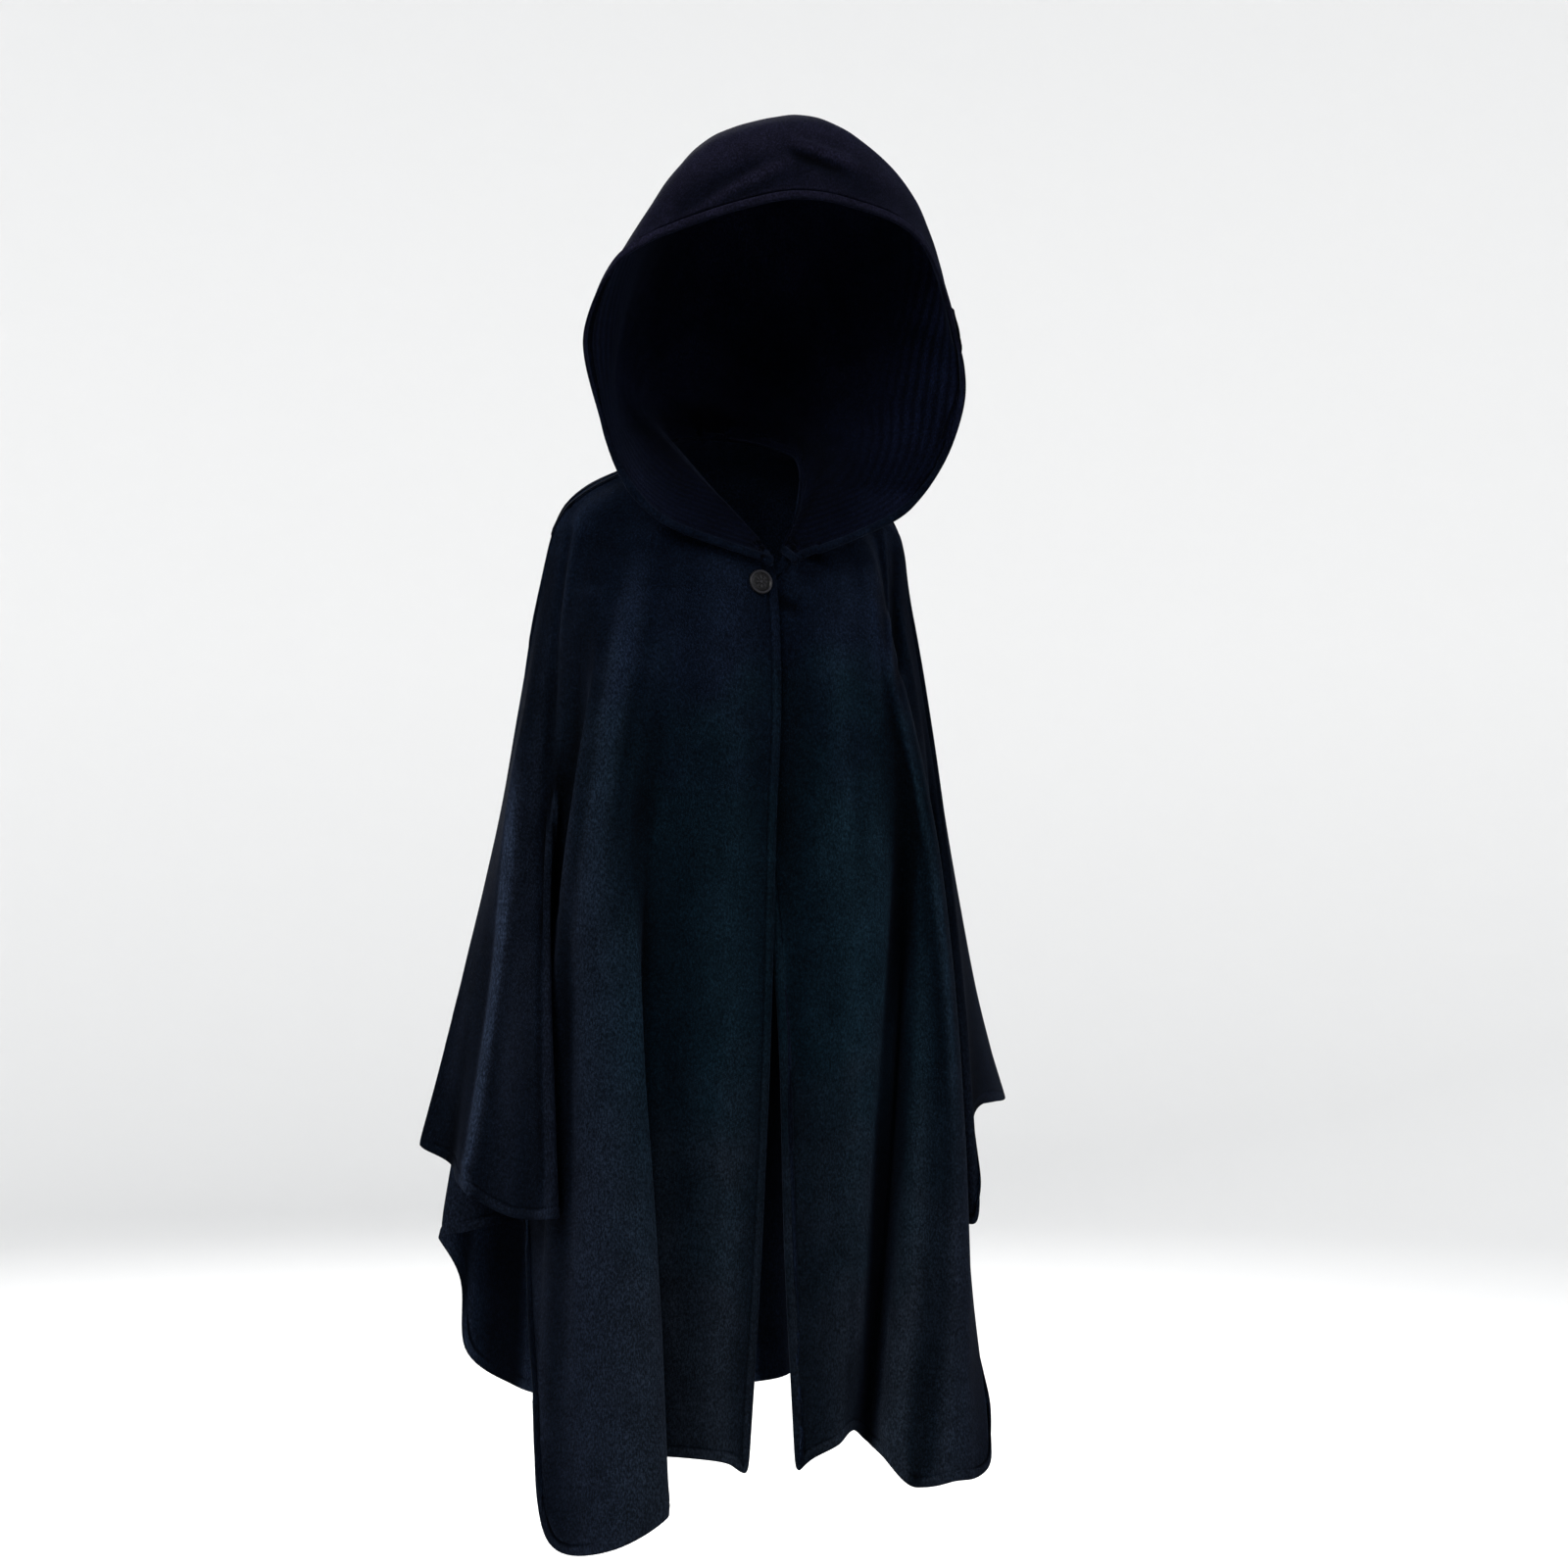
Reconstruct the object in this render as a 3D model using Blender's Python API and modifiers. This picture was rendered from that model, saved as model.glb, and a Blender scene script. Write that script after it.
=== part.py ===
"""Hooded wool cape as it hangs on a standing wearer: two fronts, a back, a hood and one button.

Metres, +Z up. The wearer faces -Y and their left is +X. The origin lies midway between the
shoulders, level with the base of the neck, where the wearer holds the cape up.

Each panel is a sheet of fall lines. A fall line is the path that the cloth takes from the
neckline down to the edge of the panel, along the crest or the trough of one fold, so a row of a
table below is one fold. The sheet between the fall lines is a smooth curve, and Solidify gives
it the thickness of the cloth.
"""

from collections import namedtuple

import bmesh
import bpy
import numpy as np
from mathutils import Matrix, Vector

MM = 0.001
WALL = 2.0 * MM  # the cloth, a thick brushed wool
SEAM_GAP = 0.6 * MM  # between the edges of two pieces that are sewn together
NECK_GAP = 2.2 * MM  # between the hood and the panels, whose necklines are curved
COLUMN = 36 * MM  # widest step between two columns of a panel
STEPS = (2, 3, 3, 3, 3, 4)  # rows of the sheet between the levels below

# The levels at which a fall line is given, as shares of the way from the yoke to the edge.
# The first, the neckline, has a table of its own.
LEVELS = (0.0, 0.12, 0.30, 0.50, 0.75, 1.0)

# The neckline, by the angle round the neck from the centre front, in mm, for the left half, with
# how steeply the cloth rises into it in degrees.
Neck = namedtuple("Neck", "angle x y z rise")
NECKLINE = (
    Neck(0, 0, -104, -80, 65),
    Neck(30, 30, -88, -50, 48),
    Neck(60, 55, -55, -8, 36),
    Neck(90, 70, -10, 30, 30),
    Neck(120, 62, 28, 44, 38),
    Neck(150, 36, 50, 53, 50),
    Neck(180, 0, 58, 56, 58),
)
NECK_AXIS_Y = -20 * MM

# One row for each fall line, in mm. angle is where it leaves the neckline, and lip is the radius
# with which the cloth turns back on itself there, positive where it turns anticlockwise seen from
# above. top and edge are the heights at which the line starts on the yoke and ends, and then come
# x and y at each of the LEVELS.
Fall = namedtuple("Fall", "name angle lip top edge yoke breast ribs waist thigh hem")

FRONT_RIGHT = (
    Fall("front edge", 0, 0, -88, -982,
         (0, -107), (0, -120), (-9, -127), (-14, -126), (-21, -121), (-33, -113)),
    Fall("button line", -12, 0, -77, -966,
         (-16, -104), (-22, -124), (-30, -133), (-36, -134), (-42, -128), (-50, -118)),
    Fall("centre", -28, 0, -52, -958,
         (-45, -94), (-55, -127), (-62, -138), (-68, -139), (-72, -131), (-74, -120)),
    Fall("centre trough", -46, 8, -38, -950,
         (-85, -76), (-110, -120), (-138, -133), (-152, -131), (-164, -116), (-166, -102)),
    Fall("pleat lip", -54, -9, -36, -993,
         (-100, -70), (-134, -116), (-165, -139), (-162, -154), (-148, -167), (-139, -172)),
    Fall("pleat crest", -62, 0, -40, -1015,
         (-115, -63), (-166, -112), (-195, -135), (-210, -150), (-205, -172), (-192, -187)),
    Fall("front corner", -69, 0, -41, -1024,
         (-128, -56), (-180, -104), (-217, -119), (-229, -108), (-235, -120), (-242, -130)),
    Fall("side edge", -73, 0, -41, -870,
         (-136, -51), (-184, -92), (-211, -105), (-224, -88), (-233, -86), (-248, -92)),
    Fall("side tuck", -76, 5, -40, -714,
         (-146, -45), (-188, -72), (-202, -80), (-217, -68), (-236, -50), (-251, -50)),
    Fall("arm lip", -81, -5, -35, -710,
         (-168, -32), (-198, -38), (-214, -54), (-227, -79), (-242, -125), (-240, -138)),
    Fall("arm front", -85, 0, -32, -712,
         (-174, -22), (-202, -24), (-225, -40), (-246, -62), (-267, -90), (-276, -104)),
    Fall("arm crest", -88, 0, -30, -686,
         (-177, -12), (-204, -11), (-230, -24), (-259, -43), (-280, -51), (-308, -58)),
    Fall("arm hollow", -91, 0, -26, -668,
         (-178, -3), (-204, 0), (-227, -8), (-254, -16), (-285, -18), (-305, -14)),
    Fall("over-arm seam", -94, 0, -22, -655,
         (-177, 5), (-202, 10), (-223, 10), (-247, 10), (-286, 10), (-330, 14)),
)

FRONT_LEFT = (
    Fall("front edge", 6, 0, -94, -983,
         (-7, -101), (-30, -116), (-20, -121), (-3, -121), (5, -118), (20, -112)),
    Fall("under edge", 16, 0, -80, -968,
         (10, -101), (8, -115), (8, -121), (16, -124), (24, -121), (36, -114)),
    Fall("centre", 28, 0, -52, -957,
         (45, -90), (52, -121), (58, -134), (62, -135), (62, -128), (62, -118)),
    Fall("centre flank", 37, 0, -45, -944,
         (64, -83), (76, -120), (100, -126), (114, -124), (101, -117), (85, -104)),
    Fall("centre trough", 46, 0, -38, -966,
         (82, -74), (98, -115), (142, -107), (149, -84), (136, -81), (115, -78)),
    Fall("pleat lip", 51, 0, -37, -973,
         (92, -71), (108, -114), (151, -116), (145, -118), (128, -122), (113, -122)),
    Fall("pleat face", 56, 0, -38, -1003,
         (104, -67), (118, -110), (158, -118), (165, -127), (152, -137), (137, -131)),
    Fall("pleat crest", 62, 0, -40, -995,
         (112, -63), (130, -102), (167, -116), (186, -129), (190, -144), (176, -151)),
    Fall("front corner", 69, 0, -41, -993,
         (122, -56), (141, -78), (180, -92), (202, -101), (213, -106), (230, -125)),
    Fall("side edge", 73, 0, -41, -880,
         (130, -51), (148, -60), (181, -72), (200, -80), (211, -79), (228, -91)),
    Fall("side tuck", 76, -4, -40, -745,
         (142, -45), (166, -50), (189, -55), (203, -54), (221, -50), (236, -54)),
    Fall("arm lip", 81, 4, -35, -748,
         (164, -32), (184, -32), (200, -44), (211, -63), (217, -89), (220, -108)),
    Fall("arm front", 85, 0, -32, -637,
         (172, -22), (188, -26), (204, -36), (218, -46), (234, -58), (240, -65)),
    Fall("arm crest", 88, 0, -30, -634,
         (175, -12), (190, -19), (206, -25), (226, -29), (256, -30), (287, -28)),
    Fall("arm hollow", 91, 0, -26, -636,
         (177, -3), (193, -7), (209, -9), (230, -9), (265, -8), (307, -7)),
    Fall("over-arm seam", 94, 0, -22, -638,
         (177, 5), (195, 9), (211, 11), (232, 12), (270, 12), (323, 12)),
)

BACK = (
    FRONT_RIGHT[-1],
    Fall("right back arm", -98, 0, -18, -665,
         (-174, 20), (-190, 34), (-209, 40), (-233, 45), (-269, 48), (-298, 44)),
    Fall("right arm tuck", -103, 8, -18, -735,
         (-166, 33), (-180, 54), (-191, 64), (-200, 70), (-200, 62), (-190, 46)),
    Fall("right fall lip", -107, -7, -18, -755,
         (-156, 44), (-168, 72), (-189, 84), (-214, 96), (-247, 96), (-287, 82)),
    Fall("right side", -111, 0, -18, -800,
         (-146, 53), (-158, 88), (-182, 103), (-203, 114), (-228, 116), (-255, 106)),
    Fall("right rib", -116, 0, -16, -884,
         (-130, 61), (-140, 99), (-163, 112), (-186, 121), (-214, 122), (-247, 120)),
    Fall("right trough", -124, 0, -12, -922,
         (-110, 69), (-118, 107), (-140, 121), (-160, 131), (-176, 138), (-190, 142)),
    Fall("right back fold", -136, 0, -4, -944,
         (-82, 77), (-90, 118), (-108, 139), (-122, 156), (-136, 172), (-150, 182)),
    Fall("right inner trough", -148, 0, 2, -948,
         (-56, 83), (-62, 118), (-74, 128), (-84, 128), (-94, 124), (-104, 120)),
    Fall("right inner fold", -164, 0, 6, -952,
         (-28, 87), (-31, 121), (-37, 141), (-42, 154), (-50, 166), (-58, 174)),
    Fall("centre back", 180, 0, 8, -955,
         (0, 88), (0, 118), (2, 129), (3, 131), (4, 133), (6, 132)),
    Fall("left inner fold", 164, 0, 6, -950,
         (28, 87), (32, 121), (42, 138), (50, 150), (58, 160), (68, 168)),
    Fall("left inner trough", 148, 0, 2, -938,
         (56, 83), (63, 118), (78, 130), (90, 132), (100, 128), (112, 124)),
    Fall("left back fold", 136, 0, -4, -930,
         (82, 77), (90, 117), (110, 138), (128, 154), (142, 168), (158, 176)),
    Fall("left trough", 124, 0, -12, -905,
         (110, 69), (116, 105), (138, 119), (158, 128), (176, 134), (192, 138)),
    Fall("left rib", 116, 0, -16, -868,
         (130, 61), (137, 97), (158, 110), (180, 119), (206, 121), (234, 118)),
    Fall("left side", 111, 0, -18, -795,
         (146, 53), (153, 86), (174, 101), (196, 111), (222, 113), (250, 104)),
    Fall("left fall lip", 107, -7, -18, -742,
         (158, 45), (168, 73), (188, 85), (208, 95), (238, 94), (278, 80)),
    Fall("left arm tuck", 103, 8, -18, -722,
         (168, 34), (178, 55), (188, 66), (194, 71), (194, 60), (186, 44)),
    Fall("left back arm", 98, 0, -18, -648,
         (175, 20), (188, 32), (205, 39), (225, 43), (252, 46), (286, 42)),
    FRONT_LEFT[-1],
)

# The hood, in mm, for its left half: one row for each line from the face edge back to the
# neckline, with its angle there, how many degrees it leans and how far the face edge is shifted to
# the wearer's left, and x, y and z at the face edge and at three places behind it.
Rib = namedtuple("Rib", "name angle lean shift face side back nape")
HOOD = (
    Rib("closure", 10, 0, 0, (11, -128, -80), (10, -123, -77), (9, -117, -73), (8, -112, -70)),
    Rib("chest", 26, 5, 0, (84, -113, -58), (66, -102, -46), (50, -94, -36), (38, -90, -30)),
    Rib("collar", 48, 3, 2, (136, -106, -34), (110, -86, -18), (84, -70, -2), (62, -65, 2)),
    Rib("shoulder", 72, 4, 5, (174, -108, 10), (140, -70, 22), (106, -34, 38), (79, -34, 34)),
    Rib("jaw", 92, 0, 9, (192, -107, 56), (156, -56, 66), (116, 8, 76), (86, 4, 62)),
    Rib("ear", 110, -2, 5, (206, -108, 110), (165, -52, 140), (120, 46, 126), (80, 38, 80)),
    Rib("temple", 128, 2, 0, (197, -115, 155), (164, -60, 220), (104, 70, 188), (68, 66, 100)),
    Rib("brow", 146, 9.5, 4, (163, -130, 226), (134, -72, 292), (76, 88, 246), (48, 88, 118)),
    Rib("forelock", 164, 12, 4, (97, -145, 257), (83, -82, 341), (42, 98, 290), (25, 104, 134)),
    Rib("top", 180, 0, 0, (0, -151, 270), (0, -86, 366), (0, 102, 322), (0, 112, 142)),
)
HOOD_STEPS = (3, 5, 4, 2, 2)
LEAN_ABOUT = 100 * MM  # height of the point about which the ribs lean
CROWN_SHIFT = 43 * MM  # how far the crown sits to the wearer's left
CROWN_FROM, CROWN_TO = 80 * MM, 250 * MM  # heights over which it comes to that
FADE_FACE = np.array([1.0, 0.5, 0.2, 0.0])  # what is felt of a change at the face edge behind it
FADE_CROWN = np.array([0.0, 1.0, 0.9, 0.3])  # and of the crown's shift
ROLL = 9 * MM  # how far the hood runs on from the neckline before it turns outwards

BUTTON_AT = (-19 * MM, -102 * MM)  # x and z of its centre
BUTTON_RADIUS = 12.5 * MM
BUTTON_THICKNESS = 4.2 * MM
BUTTON_RIM = 2.2 * MM
BUTTON_DISH = 1.0 * MM

WOOL_COLOUR = (0.010, 0.014, 0.030)
HORN_COLOUR = (0.030, 0.024, 0.022)


def unit(vectors):
    return vectors / np.linalg.norm(vectors, axis=-1, keepdims=True)


def smooth_curve(points, counts):
    """Points on a centripetal spline through points, counts[i] of them to the i-th stretch."""
    points = np.asarray(points, float)
    ends = [2 * points[0] - points[1]], points, [2 * points[-1] - points[-2]]
    chain = np.concatenate(ends)
    chords = np.linalg.norm(np.diff(chain, axis=0), axis=-1)
    knots = np.concatenate([[0.0], np.cumsum(np.sqrt(np.maximum(chords, 1 * MM)))])
    found = []
    for i, count in enumerate(counts):
        p0, p1, p2, p3 = chain[i : i + 4]
        t0, t1, t2, t3 = knots[i : i + 4]
        for t in np.linspace(t1, t2, count, endpoint=False):
            a1 = ((t1 - t) * p0 + (t - t0) * p1) / (t1 - t0)
            a2 = ((t2 - t) * p1 + (t - t1) * p2) / (t2 - t1)
            a3 = ((t3 - t) * p2 + (t - t2) * p3) / (t3 - t2)
            b1 = ((t2 - t) * a1 + (t - t0) * a2) / (t2 - t0)
            b2 = ((t3 - t) * a2 + (t - t1) * a3) / (t3 - t1)
            found.append(((t2 - t) * b1 + (t - t1) * b2) / (t2 - t1))
    found.append(points[-1])
    return np.array(found)


def neck_point(angle):
    """The point of the neckline at this angle in degrees, negative on the wearer's right."""
    angle = (angle + 180) % 360 - 180
    rows = np.array([[row.x, row.y, row.z] for row in NECKLINE]) * MM
    mirrored = rows[1:] * (-1, 1, 1)
    loop = np.concatenate([mirrored[::-1], rows])
    angles = [-row.angle for row in NECKLINE[:0:-1]] + [row.angle for row in NECKLINE]
    fine = smooth_curve(loop, [8] * (len(loop) - 1))
    fine_angles = np.interp(np.arange(len(fine)) / 8, range(len(angles)), angles)
    return np.array([np.interp(angle, fine_angles, fine[:, axis]) for axis in range(3)])


def neck_direction(angle):
    """The way in which the cloth runs up into the neckline at this angle."""
    angle = (angle + 180) % 360 - 180
    inwards = unit(np.array([0, NECK_AXIS_Y, 0]) - neck_point(angle) * (1, 1, 0))
    rises = [row.rise for row in NECKLINE]
    rise = np.radians(np.interp(abs(angle), [row.angle for row in NECKLINE], rises))
    return inwards * np.cos(rise) + np.array([0, 0, np.sin(rise)])


def fall_line(row):
    """The points of one fall line, from the neckline to the edge."""
    places = (row.yoke, row.breast, row.ribs, row.waist, row.thigh, row.hem)
    line = [neck_point(row.angle)]
    for share, (x, y) in zip(LEVELS, places):
        line.append(np.array([x, y, row.top + share * (row.edge - row.top)]) * MM)
    return smooth_curve(line, STEPS)


def with_lips(lines, lips):
    """The fall lines, with each that has a lip made two, so that the cloth turns round there."""
    found = []
    for i, (line, lip) in enumerate(zip(lines, lips)):
        if not lip:
            found.append(line)
            continue
        into, out = (line - lines[i - 1]) * (1, 1, 0), (lines[i + 1] - line) * (1, 1, 0)
        into, out = unit(into), unit(out)
        across = unit(into + out + np.cross((0, 0, np.sign(lip)), into - out))
        radius = abs(lip) * (0.1 + 0.9 * np.linspace(0, 1, len(line))[:, None] ** 2)
        found.append(line - across * radius)
        found.append(line + across * radius)
    return found


def sheet_through(lines):
    """A grid of points, rows down and columns across, on the smooth sheet through the lines, and
    the place of each of its columns among the lines."""
    lines = np.array(lines)
    widest = np.linalg.norm(np.diff(lines, axis=0), axis=-1).max(axis=1)
    counts = np.maximum(1, np.ceil(widest / COLUMN)).astype(int)
    grid = np.array([smooth_curve(lines[:, j], counts) for j in range(lines.shape[1])])
    places = np.interp(np.arange(grid.shape[1]), np.cumsum([0, *counts]), np.arange(len(lines)))
    return grid, places


def panel_sheet(rows):
    """One panel's grid. Its first row of points lies exactly on the neckline."""
    lines = with_lips([fall_line(row) for row in rows], [row.lip * MM for row in rows])
    grid, places = sheet_through(lines)
    angles = np.unwrap([row.angle for row in rows], period=360)
    turn = np.sign(angles[-1] - angles[0])
    wrapped = []
    for row, angle in zip(rows, angles):
        wrapped += [angle - turn, angle + turn] if row.lip else [angle]
    for column, place in enumerate(places):
        grid[0, column] = neck_point(np.interp(place, range(len(wrapped)), wrapped))
    return grid


def trim_seam(first, second):
    """Moves the last column of one panel and the first of the next back from the seam that they
    share, so that their walls clear each other however sharply the cloth turns there."""
    a, b = unit(first[:, -2] - first[:, -1]), unit(second[:, 1] - second[:, 0])
    cosine = np.clip((a * b).sum(axis=1, keepdims=True), -1, 0.5)
    back_off = WALL / 2 * np.sqrt((1 + cosine) / (1 - cosine)) + SEAM_GAP / 2
    first[:, -1] += a * back_off
    second[:, 0] += b * back_off


def hood_sheet():
    """The hood's grid, from its face edge back to the neckline and from right to left."""
    rows = [(row, -1) for row in HOOD] + [(row, 1) for row in HOOD[-2::-1]]
    lines = []
    for row, side in rows:
        places = np.array([row.face, row.side, row.back, row.nape]) * MM * (side, 1, 1)
        lean = np.radians(row.lean) * FADE_FACE
        x, z = places[:, 0], places[:, 2] - LEAN_ABOUT
        shift = np.clip((places[:, 2] - CROWN_FROM) / (CROWN_TO - CROWN_FROM), 0, 1)
        places[:, 0] = x * np.cos(lean) - z * np.sin(lean)
        places[:, 0] += shift * CROWN_SHIFT * FADE_CROWN + row.shift * MM * FADE_FACE
        places[:, 2] = x * np.sin(lean) + z * np.cos(lean) + LEAN_ABOUT
        neck = neck_point(side * row.angle)
        up = neck_direction(side * row.angle)
        ends = [neck + up * ROLL, neck + up * NECK_GAP]
        lines.append(smooth_curve(np.concatenate([places, ends]), HOOD_STEPS))
    grid, places = sheet_through(lines)
    angles = np.unwrap([side * row.angle for row, side in rows], period=360)
    for column, place in enumerate(places):
        angle = np.interp(place, range(len(angles)), angles)
        grid[-1, column] = neck_point(angle) + neck_direction(angle) * NECK_GAP
    return grid


def material(name, colour, roughness):
    made = bpy.data.materials.new(name)
    made.use_nodes = True
    shader = made.node_tree.nodes["Principled BSDF"]
    shader.inputs["Base Color"].default_value = (*colour, 1)
    shader.inputs["Roughness"].default_value = roughness
    shader.inputs["Metallic"].default_value = 0
    return made


def cloth(name, grid, collection, finish):
    """One cut piece: a grid mesh laid on the points of the sheet, with the cloth's thickness."""
    rows, columns = grid.shape[:2]
    bm = bmesh.new()
    bmesh.ops.create_grid(bm, x_segments=columns - 1, y_segments=rows - 1, size=1)
    for vert in bm.verts:
        column = round((vert.co.x + 1) / 2 * (columns - 1))
        row = round((1 - vert.co.y) / 2 * (rows - 1))
        vert.co = grid[row, column]
    mesh = bpy.data.meshes.new(name)
    bm.to_mesh(mesh)
    bm.free()
    mesh.materials.append(finish)
    mesh.shade_smooth()
    piece = bpy.data.objects.new(name, mesh)
    collection.objects.link(piece)
    wall = piece.modifiers.new("Cloth thickness", "SOLIDIFY")
    wall.thickness = WALL
    wall.offset = 0
    return piece


def button(grid, collection, finish):
    """A dished horn button that lies on the right front, facing the way the cloth faces."""
    flat = grid.reshape(-1, 3)
    away = np.hypot(flat[:, 0] - BUTTON_AT[0], flat[:, 2] - BUTTON_AT[1])
    row, column = np.unravel_index(away.argmin(), grid.shape[:2])
    column = max(column, 1)
    across = grid[row, column + 1] - grid[row, column - 1]
    down = grid[row + 1, column] - grid[row - 1, column]
    facing = Vector(np.cross(across, down)).normalized()
    if facing.y > 0:
        facing.negate()
    on_sheet = Vector(grid[row, column])
    shift = Vector((BUTTON_AT[0], 0, BUTTON_AT[1])) - on_sheet
    shift.y = -(shift.x * facing.x + shift.z * facing.z) / facing.y
    outline = (
        (0, 0),
        (BUTTON_RADIUS * 0.9, 0),
        (BUTTON_RADIUS, BUTTON_THICKNESS * 0.4),
        (BUTTON_RADIUS * 0.95, BUTTON_THICKNESS),
        (BUTTON_RADIUS - BUTTON_RIM, BUTTON_THICKNESS),
        (BUTTON_RADIUS - 1.6 * BUTTON_RIM, BUTTON_THICKNESS - BUTTON_DISH),
        (0, BUTTON_THICKNESS - BUTTON_DISH),
    )
    bm = bmesh.new()
    verts = [bm.verts.new((x, 0, z)) for x, z in outline]
    edges = [bm.edges.new(pair) for pair in zip(verts, verts[1:])]
    bmesh.ops.spin(bm, geom=verts + edges, axis=(0, 0, 1), cent=(0, 0, 0), steps=32,
                   angle=2 * np.pi, use_merge=True)
    bmesh.ops.remove_doubles(bm, verts=bm.verts, dist=0.01 * MM)
    bmesh.ops.recalc_face_normals(bm, faces=bm.faces)
    mesh = bpy.data.meshes.new("button")
    bm.to_mesh(mesh)
    bm.free()
    mesh.materials.append(finish)
    piece = bpy.data.objects.new("button", mesh)
    lift = WALL / 2 + 0.4 * MM
    place = Matrix.Translation(on_sheet + shift + facing * lift)
    piece.matrix_world = place @ facing.to_track_quat("Z", "Y").to_matrix().to_4x4()
    collection.objects.link(piece)
    return piece


def build():
    for old in list(bpy.data.objects):
        bpy.data.objects.remove(old)
    cape = bpy.data.collections.new("Wool cape")
    bpy.context.scene.collection.children.link(cape)
    wool = material("navy wool", WOOL_COLOUR, 0.95)
    horn = material("dark horn", HORN_COLOUR, 0.35)

    right, left, back = panel_sheet(FRONT_RIGHT), panel_sheet(FRONT_LEFT), panel_sheet(BACK)
    trim_seam(right, back)
    trim_seam(left, back[:, ::-1])
    cloth("front_right", right, cape, wool)
    cloth("front_left", left, cape, wool)
    cloth("back", back, cape, wool)
    cloth("hood", hood_sheet(), cape, wool)
    button(right, cape, horn)


build()
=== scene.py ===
from collections import namedtuple
from functools import reduce
from math import cos, exp, pi, radians, sin

import bmesh
import bpy
import numpy as np
from mathutils import Matrix, Vector, noise
from mathutils.bvhtree import BVHTree
from mathutils.kdtree import KDTree


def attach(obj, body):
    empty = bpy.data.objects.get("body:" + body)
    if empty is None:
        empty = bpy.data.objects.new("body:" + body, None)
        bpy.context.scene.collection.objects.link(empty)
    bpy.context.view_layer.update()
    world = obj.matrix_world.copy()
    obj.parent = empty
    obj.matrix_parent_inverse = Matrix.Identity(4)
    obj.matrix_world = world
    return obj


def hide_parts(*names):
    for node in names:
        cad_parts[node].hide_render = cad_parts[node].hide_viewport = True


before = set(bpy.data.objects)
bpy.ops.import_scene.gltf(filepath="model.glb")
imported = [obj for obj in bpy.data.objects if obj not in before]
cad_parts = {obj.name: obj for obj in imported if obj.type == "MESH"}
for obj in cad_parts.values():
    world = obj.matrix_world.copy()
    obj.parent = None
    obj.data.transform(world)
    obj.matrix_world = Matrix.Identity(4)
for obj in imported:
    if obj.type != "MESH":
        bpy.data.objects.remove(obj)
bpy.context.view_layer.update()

# ---------------------------------------------------------------- studio
# A pale floor that rises into a round wall, so every side is seen against
# the same plain ground. It is the floor that a standing wearer's feet
# would touch, so the cape hangs clear of it.
FLOOR_Z = -1.49
FLOOR_RADIUS = 5.0
SWEEP_RADIUS = 1.6
SWEEP_STEPS = 12
WALL_TOP = 2.4


def put(name, data):
    obj = bpy.data.objects.new(name, data)
    bpy.context.scene.collection.objects.link(obj)
    return obj


def shade_smooth(mesh):
    mesh.polygons.foreach_set("use_smooth", [True] * len(mesh.polygons))


def mesh_of(work, name):
    """Turns a bmesh into a mesh with smooth shading, and frees it."""
    mesh = bpy.data.meshes.new(name)
    work.to_mesh(mesh)
    work.free()
    shade_smooth(mesh)
    return mesh


def lathe(profile, steps, merge):
    """A bmesh of a profile, in (radius, height) points, turned once round the Z axis."""
    work = bmesh.new()
    points = [work.verts.new((radius, 0, height)) for radius, height in profile]
    outline = [work.edges.new(pair) for pair in zip(points, points[1:])]
    bmesh.ops.spin(work, geom=points + outline, cent=(0, 0, 0), axis=(0, 0, 1),
                   angle=2 * pi, steps=steps, use_merge=True)
    bmesh.ops.remove_doubles(work, verts=work.verts, dist=merge)
    return work


def new_material(name, roughness, specular):
    """A material and its shader, which has no colour yet."""
    made = bpy.data.materials.new(name)
    made.use_nodes = True
    shader = made.node_tree.nodes["Principled BSDF"]
    shader.inputs["Roughness"].default_value = roughness
    shader.inputs["Specular IOR Level"].default_value = specular
    return made, shader


profile = [(0, FLOOR_Z), (FLOOR_RADIUS, FLOOR_Z)]
for step in range(1, SWEEP_STEPS + 1):
    turn = step / SWEEP_STEPS * pi / 2
    profile.append((FLOOR_RADIUS + SWEEP_RADIUS * sin(turn),
                    FLOOR_Z + SWEEP_RADIUS * (1 - cos(turn))))
profile.append((FLOOR_RADIUS + SWEEP_RADIUS, WALL_TOP))
sweep = lathe(profile, steps=96, merge=1e-5)
bmesh.ops.recalc_face_normals(sweep, faces=sweep.faces)
floor = put("studio_floor", mesh_of(sweep, "studio_floor"))
paint, shader = new_material("studio_floor", roughness=0.9, specular=0.1)
shader.inputs["Base Color"].default_value = (0.86, 0.86, 0.86, 1)
floor.data.materials.append(paint)

# The camera stands 24 degrees round to the wearer's right, level with the
# waist, 3 m away.
CAMERA_TURN = -24.0
CAMERA_DISTANCE = 3.0
CAMERA_HEIGHT = -0.30
CAMERA_ASIDE = 0.052
toward = Vector((sin(radians(CAMERA_TURN)), -cos(radians(CAMERA_TURN)), 0))
aside = Vector((cos(radians(CAMERA_TURN)), sin(radians(CAMERA_TURN)), 0))
lens = bpy.data.cameras.new("camera")
lens.lens = 67.5
lens.sensor_width = 36
camera = put("camera", lens)
camera.location = toward * CAMERA_DISTANCE + aside * CAMERA_ASIDE + Vector((0, 0, CAMERA_HEIGHT))
camera.rotation_euler = (pi / 2, 0, radians(CAMERA_TURN))
bpy.context.scene.camera = camera

# A broad soft lamp on either side of the front, one behind, and an even
# pale sky for the rest. The lamps look at the cape's middle.
LAMPS_AIM = Vector((0, 0, -0.4))


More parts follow.
